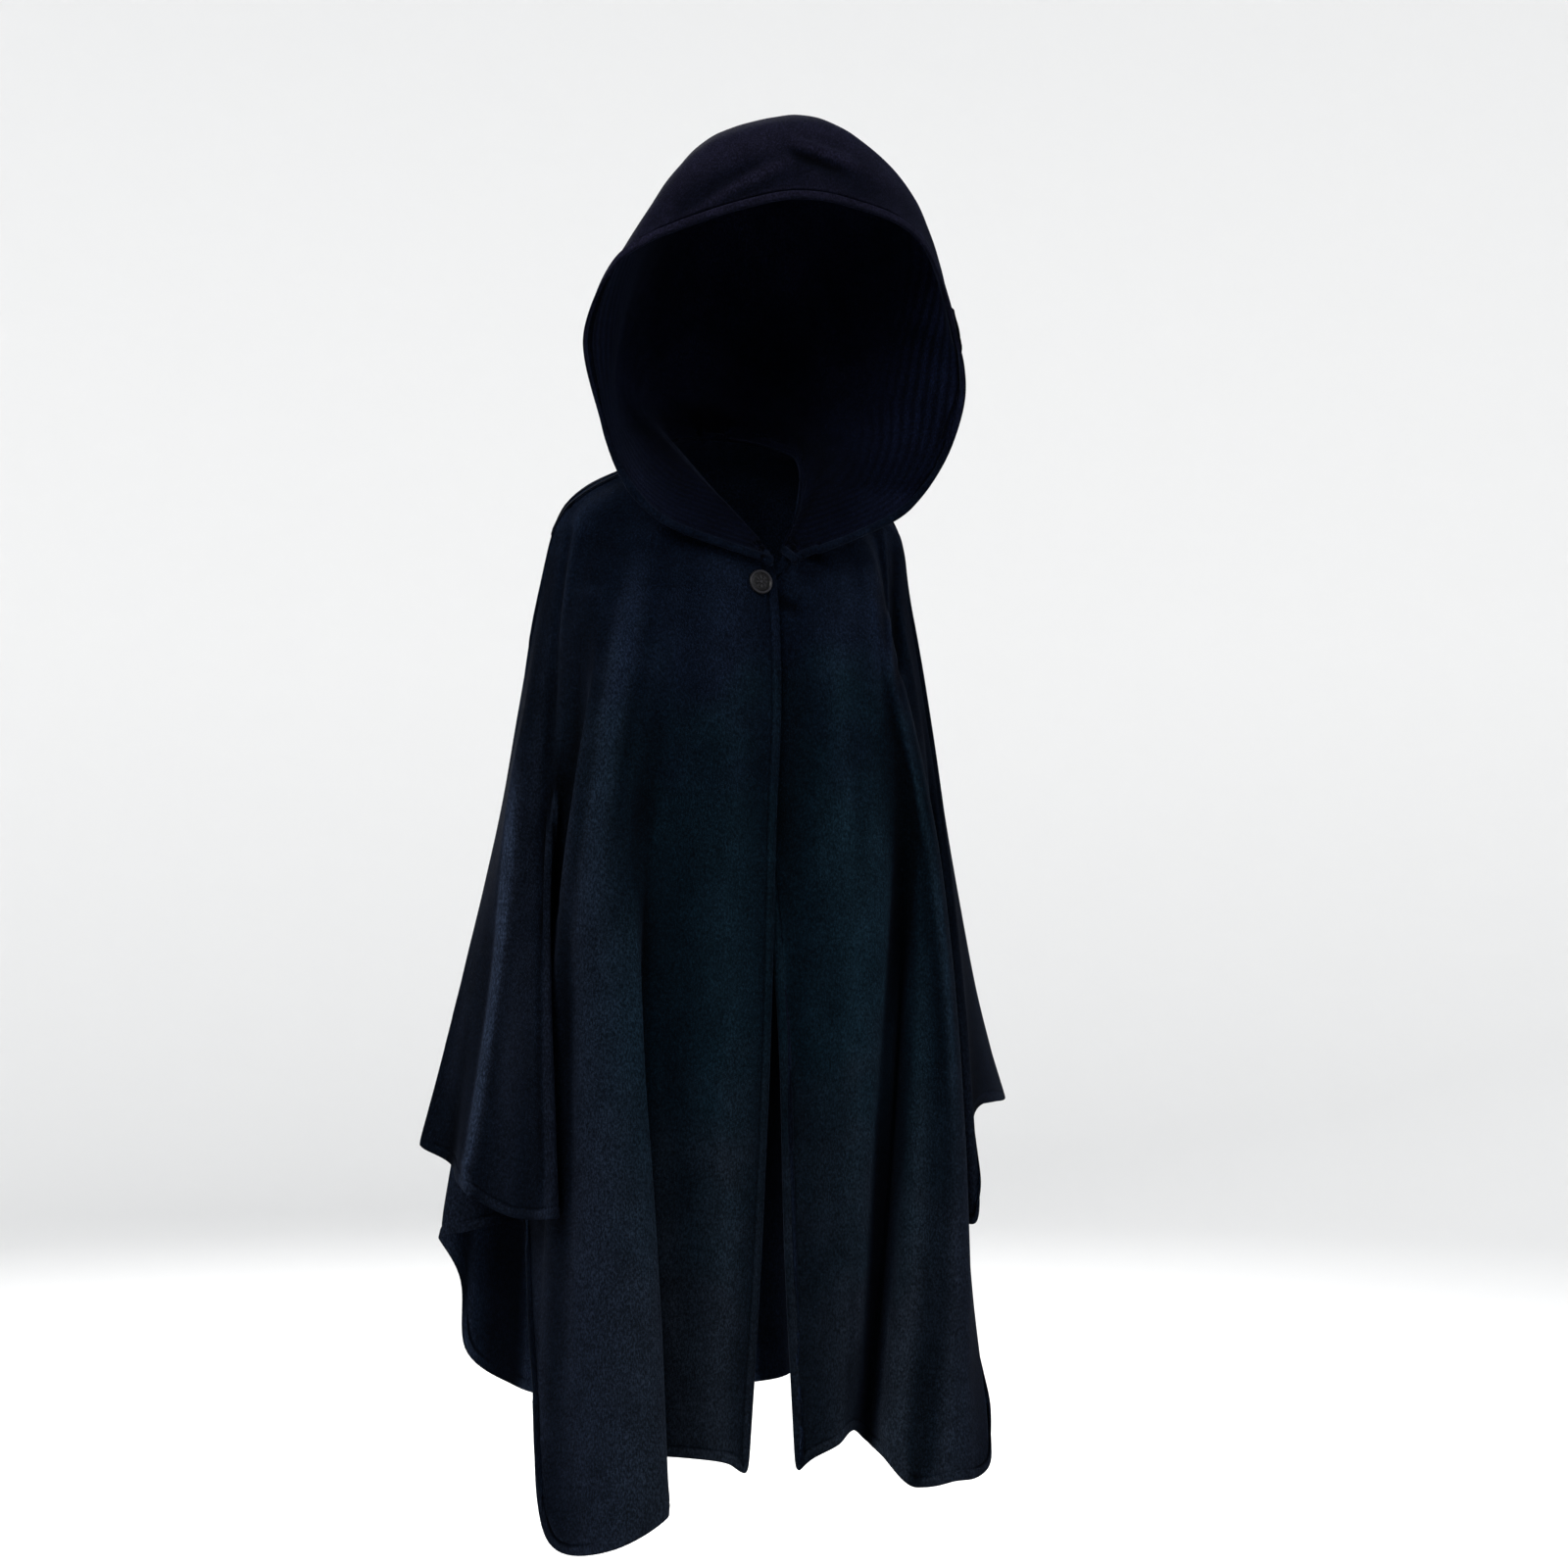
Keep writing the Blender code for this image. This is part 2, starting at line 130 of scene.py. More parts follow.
def soft_lamp(name, place, size, watts, tint):
    lamp = bpy.data.lights.new(name, "AREA")
    lamp.shape = "SQUARE"
    lamp.size = size
    lamp.energy = watts
    lamp.color = tint
    obj = put(name, lamp)
    obj.location = place
    obj.rotation_euler = (Vector(place) - LAMPS_AIM).to_track_quat("Z", "Y").to_euler()


soft_lamp("key_lamp", (-2.8, -2.0, 2.2), 1.8, 250, (1.0, 0.985, 0.96))
soft_lamp("fill_lamp", (2.8, -2.2, 1.0), 2.2, 60, (0.93, 0.96, 1.0))
soft_lamp("back_lamp", (0.6, 3.0, 1.7), 2.2, 150, (1.0, 0.99, 0.98))
sky = bpy.data.worlds.new("studio_sky")
sky.use_nodes = True
sky.node_tree.nodes["Background"].inputs["Color"].default_value = (0.95, 0.975, 1.0, 1)
sky.node_tree.nodes["Background"].inputs["Strength"].default_value = 0.55
bpy.context.scene.world = sky
bpy.context.scene.view_settings.view_transform = "Standard"

# ----------------------------------------------------------- right front
# The wearer's right front, cut from one width of brushed wool coating. It
# hangs in a deep pleat before the arm and laps over the left front at the
# neck; its front edge, side edge and hem are turned in and stitched.
MM = 1e-3
HEM = 0.009             # width of the turned edge
STITCH_GROOVE = 0.0040  # width of the dent that its stitching pulls in
WALL = 0.0020
HEM_WALL = 0.0030
OUT = {                 # a way that each piece's outer face looks
    "front_right": (-0.4, -1, 0), "front_left": (0.1, -1, 0), "back": (0, 1, 0), "hood": (0, 0, 1)}
RIM_ANGLE = radians(75)   # the cloth bends less than this from face to face, its rim more
WALL_END = 0.0027         # a face narrower than this at the rim may be the wall's end
END_ANGLE = radians(45)   # and is, if it bends away by more than this
SEWN_WITHIN = 0.010     # an edge this near another piece's edge is sewn to it
BORDER_STEP = 0.003     # between the places that stand for a cut edge
SEAM_FADE = 0.015       # the turned edge flattens over this much before a seam
SEAM_REACH = 0.016      # how far the cloth beside a seam is drawn over with it
SEAM_OVERLAP = 0.0004   # so that no light comes through


def share(value, start, end):
    """How far a value has come from start to end, from 0 to 1."""
    return min(max((value - start) / (end - start), 0), 1)


def array_of(items, name, width, kind=float):
    """One property of a mesh's points, edges or corners, as an array with a row for each."""
    values = np.empty(len(items) * width, kind)
    items.foreach_get(name, values)
    return values.reshape(-1, width)


def number_of(mesh, name):
    return array_of(mesh.attributes[name].data, "value", 1)[:, 0]


def store(mesh, name, values):
    """Keeps a number for each point, which the materials can read."""
    numbers = np.asarray(values, np.float32)
    mesh.attributes.new(name, "FLOAT", "POINT").data.foreach_set("value", numbers)


def tree_of(places):
    """A search tree that finds the nearest of these places."""
    tree = KDTree(len(places))
    for index, place in enumerate(places):
        tree.insert(place, index)
    tree.balance()
    return tree


def surface_tree(mesh):
    """A search tree that finds the nearest spot on a mesh, or where a ray meets it."""
    return BVHTree.FromPolygons(
        [v.co for v in mesh.vertices], [tuple(p.vertices) for p in mesh.polygons])


def outside_of(node):
    """A bmesh of the outer face of a packed cloth wall, in quads."""
    work = bmesh.new()
    work.from_mesh(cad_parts[node].data)
    bmesh.ops.remove_doubles(work, verts=work.verts, dist=1e-6)
    bmesh.ops.join_triangles(
        work, faces=work.faces, cmp_seam=False, cmp_sharp=False, cmp_uvs=False, cmp_vcols=False,
        cmp_materials=False, angle_face_threshold=3.1, angle_shape_threshold=3.1,
        topology_influence=2.0)
    facing = Vector(OUT[node]).normalized()
    start = max((f for f in work.faces if f.normal.dot(facing) > 0.7),
                key=lambda f: f.calc_center_median().dot(facing))
    outside, reached = {start}, [start]
    while reached:
        face = reached.pop()
        for edge in face.edges:
            for other in edge.link_faces:
                if other not in outside and edge.calc_face_angle(pi) < RIM_ANGLE:
                    outside.add(other)
                    reached.append(other)
    bmesh.ops.delete(work, geom=[f for f in work.faces if f not in outside], context="FACES")
    # Where the search ran round the rim on to the wall's own end, that end goes.
    while True:
        ends = [f for f in work.faces if any(e.is_boundary for e in f.edges)
                and f.calc_area() < WALL_END * max(e.calc_length() for e in f.edges)
                and any(e.calc_face_angle(0) > END_ANGLE for e in f.edges)]
        if not ends:
            return work
        bmesh.ops.delete(work, geom=ends, context="FACES")


def borders_of(neighbours):
    """A test that says how far a place is from the cut edges of these pieces."""
    places = []
    for name in neighbours:
        work = outside_of(name)
        for edge in work.edges:
            if edge.is_boundary:
                a, b = (v.co for v in edge.verts)
                steps = int((b - a).length / BORDER_STEP) + 1
                places += [a.lerp(b, k / steps) for k in range(steps)]
        work.free()
    line = tree_of(places)
    return lambda place: line.find(place)[2]


def surface_of(neighbours):
    """A test that finds the nearest spot on these pieces."""
    trees = [surface_tree(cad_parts[name].data) for name in neighbours]

    def nearest(place):
        found = [tree.find_nearest(place) for tree in trees]
        return min((hit for hit in found if hit[0] is not None), key=lambda hit: hit[3])
    return nearest


# A crease is a soft trough (depth below 0) or ridge (above 0), in mm. Facing
# is where its viewer stands, in degrees round from the front. It runs from the
# height top to bottom, starts across from the middle to the viewer's right,
# ends drift further over and bows out by bow halfway. Rub paints the wool along
# it paler as painted highlight, or darker below 0 as painted shade. A crease with no depth is
# painted light and shade alone.
Crease = namedtuple("Crease", "facing across top drift bottom bow width depth rub", defaults=[0.0])
CREASE_STEPS = 17
CREASE_ENDS = 0.02, 0.98   # the fade stops just short of its ends
FADE_POWER = 0.7
LEAP = 0.2                 # a longer stretch of a path has left the cloth
SIDE_FROM, SIDE_FULL = 0.1, 0.5   # cosine of the angle to the cloth's facing there
NARROW = 8.0               # a crease this narrow has finer cloth under it
FINE_WITHIN = 0.012        # this near to its path
FINE_EDGES = 0.017, 0.010  # longest edge across it, halved in two rounds
LEVEL = 0.5                # an edge that climbs less than this share runs across


def path_of(crease, tree):
    """The spots where a crease runs over the cloth, each with how far along it is and the way the
    cloth faces there."""
    turn = radians(crease.facing)
    out = Vector((sin(turn), -cos(turn), 0))
    side = Vector((cos(turn), sin(turn), 0))
    path = []
    for t in np.linspace(0, 1, CREASE_STEPS):
        offset = crease.across + crease.drift * t + crease.bow * sin(pi * t)
        height = crease.top + (crease.bottom - crease.top) * t
        start = (side * offset + Vector((0, 0, height))) * MM + out
        spot, way, _, _ = tree.ray_cast(start, -out)
        if spot is not None:
            path.append((t, np.array(spot), np.array(way if way.dot(out) > 0 else -way)))
    return path


def halve(work, too_wide):
    """Halves every row or column of quads that has an edge across it which is too wide."""
    left, wide = dict.fromkeys(work.edges), []
    while left:
        ring = [left.popitem()[0]]
        for edge in ring:
            for face in edge.link_faces:
                if len(face.edges) == 4:
                    across = next(e for e in face.edges if not set(e.verts) & set(edge.verts))
                    if across in left:
                        del left[across]
                        ring.append(across)
        if any(too_wide(e) for e in ring):
            wide += ring
    bmesh.ops.subdivide_edges(work, edges=wide, cuts=1, use_grid_fill=True, smooth=1.0)


def refine_along(work, spots, longest):
    """Halves the columns near these spots that have an edge across them longer than this."""
    line = tree_of(spots)

    def too_wide(edge):
        a, b = (v.co for v in edge.verts)
        return (edge.calc_length() > longest and abs(a.z - b.z) < LEVEL * edge.calc_length()
                and line.find((a + b) / 2)[2] < FINE_WITHIN)
    halve(work, too_wide)


def turn_edges(work, seam_gap):
    """Cuts rings along the border for the turned edge and the dent of its stitching, and marks
    where each is: hem for the thicker wall, roll for what stands up or dips."""
    inner = list(work.faces)
    for width in (HEM, STITCH_GROOVE / 2, STITCH_GROOVE / 2):
        ring = set(bmesh.ops.inset_region(
            work, faces=inner, thickness=width, depth=0, use_boundary=True,
            use_even_offset=False, use_interpolate=True)["faces"])
        inner = [f for f in inner if f not in ring]
    hem, roll = work.verts.layers.float["hem"], work.verts.layers.float["roll"]
    seen = {v for v in work.verts if v.is_boundary}
    ring = {v for v in seen if seam_gap(v.co) > SEWN_WITHIN}
    for hem_share, roll_share in [(1, 0.4), (1, 1), (0, -1)]:
        for v in ring:
            free = share(seam_gap(v.co), SEWN_WITHIN, SEWN_WITHIN + SEAM_FADE)
            v[hem], v[roll] = hem_share * free, roll_share * free
        ring = {e.other_vert(v) for v in ring for e in v.link_edges} - seen
        seen |= ring


def cloth_sheet(node, neighbours, widest, creases=()):
    """The outside of a packed cloth wall as one smooth sheet with turned edges, finer where a
    narrow crease will run down it."""
    work = outside_of(node)
    halve(work, lambda edge: edge.calc_length() > widest)
    tree = BVHTree.FromBMesh(work)
    spots = [spot for crease in creases if crease.width <= NARROW
             for _, spot, _ in path_of(crease, tree)]
    if spots:
        for longest in FINE_EDGES:
            refine_along(work, spots, longest)
    for layer in ("hem", "roll"):
        work.verts.layers.float.new(layer)
    turn_edges(work, borders_of(neighbours))
    obj = put(node + "_cloth", mesh_of(work, node + "_cloth"))
    flatten(obj)
    smooth = obj.modifiers.new("smooth", "SUBSURF")
    smooth.levels = smooth.render_levels = 2
    smooth.boundary_smooth = "PRESERVE_CORNERS"
    dense = bpy.data.meshes.new_from_object(
        obj.evaluated_get(bpy.context.evaluated_depsgraph_get()))
    obj.modifiers.clear()
    obj.data = dense
    dense.name = node + "_cloth"
    shade_smooth(dense)
    return obj


def flatten(obj):
    """Lays the sheet out flat as its UV map, at true size, with the cloth's up along V."""
    for other in bpy.context.selected_objects:
        other.select_set(False)
    bpy.context.view_layer.objects.active = obj
    obj.select_set(True)
    bpy.ops.object.mode_set(mode="EDIT")
    bpy.ops.mesh.select_all(action="SELECT")
    bpy.ops.uv.unwrap(method="CONFORMAL", margin=0)
    bpy.ops.object.mode_set(mode="OBJECT")
    mesh = obj.data
    uv_map = mesh.uv_layers.active.data
    flat = array_of(uv_map, "uv", 2)
    corners = array_of(mesh.loops, "vertex_index", 1, int)[:, 0]
    height = array_of(mesh.vertices, "co", 3)[corners, 2]
    area_on_map = 0.0
    for polygon in mesh.polygons:
        ring = flat[list(polygon.loop_indices)]
        after = np.roll(ring, -1, axis=0)
        area_on_map += 0.5 * (ring[:, 0] * after[:, 1] - ring[:, 1] * after[:, 0]).sum()
    flat *= (sum(p.area for p in mesh.polygons) / abs(area_on_map)) ** 0.5
    slope = np.linalg.lstsq(np.c_[flat, np.ones(len(flat))], height, rcond=None)[0][:2]
    up = slope / np.linalg.norm(slope)
    turned = np.c_[flat @ np.array([up[1], -up[0]]), flat @ up]
    uv_map.foreach_set("uv", turned.ravel())


def close_seams(obj, neighbours):
    """Draws the sewn edges over to their seam, half the gap each, and the cloth near them too."""
    mesh = obj.data
    nearest, seam_gap = surface_of(neighbours), borders_of(neighbours)
    work = bmesh.new()
    work.from_mesh(mesh)
    places, pulls = [], []
    for v in work.verts:
        if v.is_boundary and seam_gap(v.co) < SEWN_WITHIN:
            spot, _, _, gap = nearest(v.co)
            if gap < SEWN_WITHIN:
                places.append(v.co.copy())
                pulls.append((spot - v.co) * 0.5 * (1 + SEAM_OVERLAP / max(gap, SEAM_OVERLAP)))
    work.free()
    seam = tree_of(places)
    for v in mesh.vertices:
        _, index, gap = seam.find(v.co)
        if gap < 3 * SEAM_REACH:
            v.co += pulls[index] * exp(-(gap / SEAM_REACH) ** 2)
    mesh.update()


# The cloth's own unevenness, in waves longer down the cloth than across it.
WAVE = 1.6 * MM
BROAD_WAVES = np.array((9, 9, 3.2))   # to the metre
SMALL_WAVES = np.array((24, 24, 10))
SMALL_SHARE = 0.4


def wave_at(place):
    return (noise.noise(Vector(place * BROAD_WAVES))
            + SMALL_SHARE * noise.noise(Vector(place * SMALL_WAVES)))


def press_creases(obj, creases, unevenness=1.0, roll=0.0004):
    """Pushes the creases, the unevenness and the turned edge's roll into the sheet, along the way
    it faces, and stores the creases' rub, their painted highlight and painted shade."""
    mesh = obj.data
    tree = surface_tree(mesh)
    places, ways = array_of(mesh.vertices, "co", 3), array_of(mesh.vertices, "normal", 3)
    push, rub = np.zeros(len(places)), np.zeros(len(places))
    for crease in creases:
        path = path_of(crease, tree)
        shape = np.zeros(len(places))
        for (t0, a, way), (t1, b, _) in zip(path, path[1:]):
            line = b - a
            if line @ line > LEAP ** 2:
                continue
            s = np.clip((places - a) @ line / (line @ line + 1e-12), 0, 1)
            gap = np.linalg.norm(places - a - s[:, None] * line, axis=1)
            fade = np.sin(pi * np.clip(t0 + (t1 - t0) * s, *CREASE_ENDS)) ** FADE_POWER
            same_side = np.clip((ways @ way - SIDE_FROM) / (SIDE_FULL - SIDE_FROM), 0, 1)
            bell = np.exp(-(gap / (crease.width * MM)) ** 2)
            shape = np.maximum(shape, bell * fade * same_side)
        push += shape * crease.depth * MM
        # A crease's rub paints light along it, and shade where it is below 0.
        rub += shape * crease.rub
    push += np.array([wave_at(place) for place in places]) * WAVE * unevenness
    push += number_of(mesh, "roll") * roll
    mesh.vertices.foreach_set("co", (places + ways * push[:, None]).ravel())
    store(mesh, "rub", rub)
    mesh.update()


# Wear and painted light, for the wool's colour: 0.5 is neither rubbed nor shaded, below
# it painted shade in folds, 1 a main ridge made paler by rubbing and painted highlight, and a
# crease's rub, painted light, can take it up to the most.
MOST_WEAR_AND_LIGHT = 1.5
RIDGE = 0.0045        # what stands out by half of this is a main ridge
# The turned edge is painted paler along its roll and darker in the dent of its stitching: painted
# highlight and painted shade.
EDGE_WEAR_AND_SHADE = 0.16      # what the turned edge adds
SOFTEN_ROUNDS = 50
SOFTEN_SHARE = 0.6    # of its neighbours' middle that a place takes in each round


def mark_wear_and_painted_light(obj):
    """Stores how far each place stands out of the softened cloth (above 0.5) or lies in a fold
    (below), with its creases' rub: ridges are made paler, partly for rubbing and partly as painted
    highlight, and folds darker as painted shade."""
    mesh = obj.data
    places, ways = array_of(mesh.vertices, "co", 3), array_of(mesh.vertices, "normal", 3)
    pairs = array_of(mesh.edges, "vertices", 2, int)
    count = np.bincount(pairs.ravel(), minlength=len(places)).astype(float)
    soft = places.copy()
    for _ in range(SOFTEN_ROUNDS):
        total = np.zeros_like(soft)
        np.add.at(total, pairs[:, 0], soft[pairs[:, 1]])
        np.add.at(total, pairs[:, 1], soft[pairs[:, 0]])
        soft = (1 - SOFTEN_SHARE) * soft + SOFTEN_SHARE * total / count[:, None]
    stands_out = ((places - soft) * ways).sum(axis=1)
    wear_and_painted_light = np.clip(0.5 + stands_out / RIDGE + EDGE_WEAR_AND_SHADE * number_of(mesh, "roll"), 0, 1)
    store(mesh, "wear_and_painted_light", np.clip(wear_and_painted_light + number_of(mesh, "rub"), 0, MOST_WEAR_AND_LIGHT) / MOST_WEAR_AND_LIGHT)


def give_wall(obj):
    """Thickens the sheet inwards to its real wall, more at the turned edges; the inner face takes
    the second material."""
    thick = obj.vertex_groups.new(name="turned_edge")
    for index, value in enumerate(number_of(obj.data, "hem")):
        thick.add([index], share(value, 0, 1), "REPLACE")
    wall_maker = obj.modifiers.new("wall", "SOLIDIFY")
    wall_maker.thickness = HEM_WALL
    wall_maker.offset = -1
    wall_maker.vertex_group = thick.name
    wall_maker.thickness_vertex_group = WALL / HEM_WALL
    wall_maker.material_offset = 1


def grey(value):
    return (value, value, value)


class Wiring:
    """Adds nodes to one material. An input is a number, a colour or another node's output."""

    def __init__(self, material):
        self.tree = material.node_tree

    def join(self, value, socket):
        if isinstance(value, bpy.types.NodeSocket):
            self.tree.links.new(value, socket)
        else:
            socket.default_value = value

    def add(self, kind, inputs=(), **settings):
        made = self.tree.nodes.new(kind)
        for key, value in settings.items():
            setattr(made, key, value)
        for name, value in dict(inputs).items():
            self.join(value, made.inputs[name])
        return made

    def attribute(self, name):
        return self.add("ShaderNodeAttribute", attribute_name=name).outputs["Fac"]

    def figure(self, operation, *terms):
        made = self.add("ShaderNodeMath", enumerate(terms), operation=operation)
        return made.outputs["Value"]

    def spread(self, value, start, end, how="LINEAR"):
        made = self.add("ShaderNodeMapRange", {"Value": value, "From Min": start, "From Max": end},
                        interpolation_type=how)
        return made.outputs["Result"]

    def noise_at(self, scale, vector, detail, stretch=(1, 1, 1)):
        mapping = self.add("ShaderNodeMapping", {
            "Vector": vector, "Scale": tuple(scale * k for k in stretch)})
        made = self.add("ShaderNodeTexNoise", {
            "Vector": mapping.outputs["Vector"], "Scale": 1.0, "Detail": detail})
        return made.outputs["Fac"]

    def mixed(self, how, a, b, factor=1.0):
        made = self.add("ShaderNodeMix", {"Factor": factor, "A": a, "B": b},
                        data_type="RGBA", blend_type=how)
        return made.outputs["Result"]

    def product(self, *colours):
        return reduce(lambda a, b: self.mixed("MULTIPLY", a, b), colours)

    def ramp(self, fac, stops):
        made = self.add("ShaderNodeValToRGB", {"Fac": fac})
        while len(made.color_ramp.elements) < len(stops):
            made.color_ramp.elements.new(0.5)
        for element, (position, colour) in zip(made.color_ramp.elements, stops):
            element.position = position
            element.color = (*colour, 1)
        return made.outputs["Color"]


DYED_FROM, DYED_TO = -1.05, 0.40    # heights from the hem to the hood's top
BLOTCHES, BLOTCH_SHIFT = 11, 0.26   # to the metre, and how far one moves the dye up
SIDE_STARTS, SIDE_WHOLLY = 0.12, 0.24   # distance from the middle
NAP = (760, 760, 330)               # flecks to the metre, longer down the cloth
CLOUDS = (1.3, 1.3, 0.8)
THREADS = 0.0017                    # from one warp or weft thread to the next
WAVE_BAND = 0.3142                  # a wave texture's band at scale 1
WEAVE_SHARE = 0.35                  # of the nap's height
RIB_WOBBLE = 0.3
# Wear and painted light, and what the wool's colour is multiplied by there: below 0.5 painted
# shade, above it rubbing and painted highlight.
WEAR_AND_LIGHT_SHADES = [
    (0.2, grey(0.35)), (0.48, grey(0.9)), (0.56, grey(1.1)), (0.95, (3.4, 2.8, 2.5)),
    (1.1, (4.2, 3.6, 3.3)), (1.5, (8.5, 7.2, 6.4))]


def wool(name, top, chest, middle, low, side, ribbed=False):
    """Brushed navy coating: a weave under a combed nap, blotched, with painted shade in folds and
    ridges made paler, partly from rubbing and partly as painted highlight."""
    cloth, shader = new_material(name, roughness=0.95, specular=0.012)
    shader.inputs["Sheen Weight"].default_value = 0.014
    shader.inputs["Sheen Roughness"].default_value = 0.4
    shader.inputs["Sheen Tint"].default_value = (0.40, 0.55, 1.0, 1)
    wires = Wiring(cloth)
    where = wires.add("ShaderNodeTexCoord").outputs
    place = where["Object"]
    axes = wires.add("ShaderNodeSeparateXYZ", {"Vector": place}).outputs
    # Dye: it drifts slowly down the garment and in broad blotches. On the outer wool the sides
    # turn darker, partly the wool's own hue and partly painted shade on the arms.
    height = wires.spread(axes["Z"], DYED_FROM, DYED_TO)
    blotched = wires.figure(
        "MULTIPLY_ADD", wires.noise_at(BLOTCHES, place, 2), BLOTCH_SHIFT, height)
    in_middle = wires.ramp(blotched, [
        (0.32, low), (0.46, middle), (0.64, middle), (0.74, chest), (0.84, chest), (0.96, top)])
    # Side colour, darker on the outer wool: partly its own hue, partly painted shade.
    at_side = wires.ramp(height, [(0.1, side), (0.6, side), (0.7, chest), (0.8, top)])
    sideways = wires.spread(
        wires.figure("ABSOLUTE", axes["X"]), SIDE_STARTS, SIDE_WHOLLY, "SMOOTHSTEP")
    dye_and_side_shade = wires.mixed("MIX", in_middle, at_side, sideways)
    # Nap: brushed down the cloth, so its flecks are longer than wide.
    nap = wires.noise_at(1, place, 3, NAP)
    flecks = wires.ramp(nap, [(0.34, grey(0.44)), (0.5, grey(0.9)), (0.66, grey(1.85))])
    clouds = wires.ramp(
        wires.noise_at(30, place, 3, CLOUDS), [(0.3, grey(0.82)), (0.7, grey(1.2))])
    # Painted shade in folds and painted highlight on ridges and creases, with rubbing on the
    # ridges.
    worn_and_lit = wires.ramp(wires.attribute("wear_and_painted_light"), [
        (wear_and_light_level / MOST_WEAR_AND_LIGHT, shade) for wear_and_light_level, shade in WEAR_AND_LIGHT_SHADES])
    colour = wires.product(dye_and_side_shade, flecks, clouds, worn_and_lit)
    # Relief: warp and weft, softened by the nap over them.
    weave = [wires.add("ShaderNodeTexWave", {
        "Vector": where["UV"], "Scale": WAVE_BAND / THREADS, "Distortion": 1.2},
        bands_direction=way).outputs["Fac"] for way in ("X", "Y")]
    relief = wires.figure("MULTIPLY_ADD", wires.figure("MULTIPLY", *weave), WEAVE_SHARE, nap)
    if ribbed:
        count = wires.figure("MULTIPLY_ADD", wires.noise_at(14, place, 1), RIB_WOBBLE,
                             wires.attribute("rib_count"))
        swing = wires.figure("SINE", wires.figure("MULTIPLY", count, 2 * pi))
        rise = wires.figure("MULTIPLY_ADD", swing, 0.5, 0.5)
        depth = wires.attribute("rib_depth")
        relief = wires.figure("MULTIPLY_ADD", rise, depth, relief)
        # The ribs' tops are painted paler and their furrows darker: painted highlight and painted
        # shade on the knit's relief.
        painted_rib_light = wires.ramp(rise, [(0.1, grey(0.62)), (0.9, grey(1.5))])
        colour = wires.mixed("MULTIPLY", colour, painted_rib_light, depth)
    bump = wires.add("ShaderNodeBump", {"Strength": 0.55, "Distance": 0.0007, "Height": relief})
    wires.join(colour, shader.inputs["Base Color"])
    wires.join(bump.outputs["Normal"], shader.inputs["Normal"])
    return cloth


TOP_NAVY = (0.0010, 0.0012, 0.0030)
CHEST_NAVY = (0.0006, 0.0013, 0.0032)
MIDDLE_NAVY = (0.0006, 0.0020, 0.0036)
LOW_NAVY = (0.0014, 0.0024, 0.0041)
# Darker navy for the sides: partly the wool's own hue there, partly painted shade on the arms.
SIDE_NAVY_AND_SHADE = (0.0008, 0.0014, 0.0029)
INSIDE_NAVY = (0.0004, 0.0007, 0.0022)
LOW_INSIDE = (0.0022, 0.0040, 0.0085)
outer_wool = wool("brushed_wool", TOP_NAVY, CHEST_NAVY, MIDDLE_NAVY, LOW_NAVY, SIDE_NAVY_AND_SHADE)
inner_wool = wool("wool_inside", CHEST_NAVY, CHEST_NAVY, CHEST_NAVY, LOW_INSIDE, LOW_INSIDE)


def dress(obj, outer, inner, node):
    give_wall(obj)
    obj.data.materials.append(outer)
    obj.data.materials.append(inner)
    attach(obj, "root")
    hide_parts(node)


# A rub paints light along its crease, or shade below 0; rows with no depth are painted light and
# shade alone.
FRONT_RIGHT_CREASES = [
    # facing across  top  drift bottom bow width depth rub (painted light and shade)
    Crease(-24, -86, -80, -58, -480, -3, 12, 6.0, 0.05),
    Crease(-24, -66, -205, -32, -440, 0, 17, -4.0),
    Crease(-24, -40, -420, 6, -900, 8, 30, -1.2),
    Crease(-24, -128, -560, -20, -960, 0, 22, 2.0),
    Crease(-24, -156, -24, -24, -470, -8, 7, -5.0),
    Crease(-24, -149, -30, -23, -200, -2, 6, 3.0),
    Crease(-24, -134, -110, -38, -430, 0, 22, -12.0),
    Crease(-24, -210, -265, -56, -740, 10, 8, 3.0, 1.3),
    Crease(-24, -182, -690, 0, -1000, 0, 13, 0.0, 0.4),
    Crease(-24, -252, -440, -34, -700, 0, 16, 0.0, 0.2),
    Crease(-24, -204, -240, -14, -790, 0, 26, 0.0, 0.3),
    Crease(-24, -86, -420, 28, -960, 4, 16, 0.0, 0.42),
    Crease(-24, -120, -20, -20, -200, 0, 24, 0.0, -0.15),
    Crease(-24, -184, -330, 6, -720, 0, 7, -1.5, -0.35),
    Crease(-24, -156, -430, 4, -760, 0, 12, -3.0, -0.08),
    Crease(-24, -254, -660, 10, -725, 0, 6, 4.0),
]
front_right = cloth_sheet("front_right", ["back", "hood"], 0.034, FRONT_RIGHT_CREASES)
close_seams(front_right, ["back", "hood"])
press_creases(front_right, FRONT_RIGHT_CREASES)
mark_wear_and_painted_light(front_right)
dress(front_right, outer_wool, inner_wool, "front_right")

